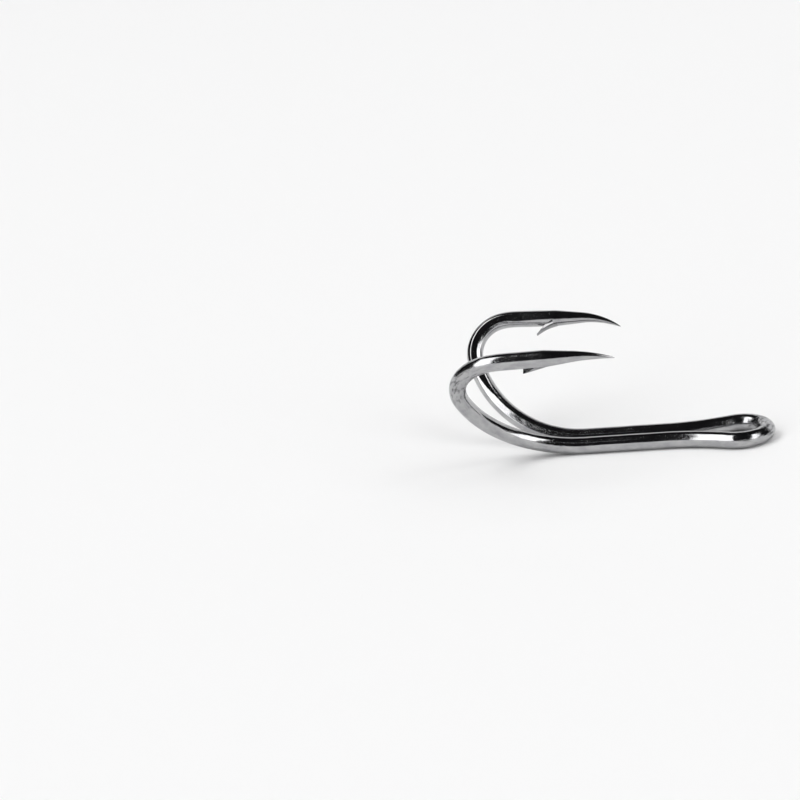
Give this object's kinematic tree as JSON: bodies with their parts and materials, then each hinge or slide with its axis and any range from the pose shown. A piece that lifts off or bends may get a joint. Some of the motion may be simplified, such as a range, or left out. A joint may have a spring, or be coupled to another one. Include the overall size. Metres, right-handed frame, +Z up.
{
  "type": "double fishing hook",
  "caption": "Barbed double fishing hook folded from round wire: open pear-shaped eye, side-by-side shank wires, and arms that spread apart to needle points.",
  "frame": {"origin": "centre of the eye's hole, midway through the wire's thickness", "axes": "+X down the shank from the eye to the bends, +Z up, the side both points rise to, +Y to the left arm; the hook lies on its eye and shank wires 0.8 mm below the origin"},
  "size_m": [0.0298, 0.0186, 0.0131],
  "materials": {
    "hook_wire": "polished black nickel over tempered high-carbon steel wire, mirror bright",
    "ground_point": "ground to a needle point, then polished black nickel",
    "cut_barb": "chisel-cut sliver under the same black nickel, slightly rougher"
  },
  "bodies": {
    "root": {"eye": "hook_wire", "left_shank": "hook_wire", "right_shank": "hook_wire", "left_bend": "hook_wire", "right_bend": "hook_wire", "left_spear": "hook_wire", "right_spear": "hook_wire", "left_point": "ground_point", "right_point": "ground_point", "left_barb": "cut_barb", "right_barb": "cut_barb"}
  },
  "joints": []
}
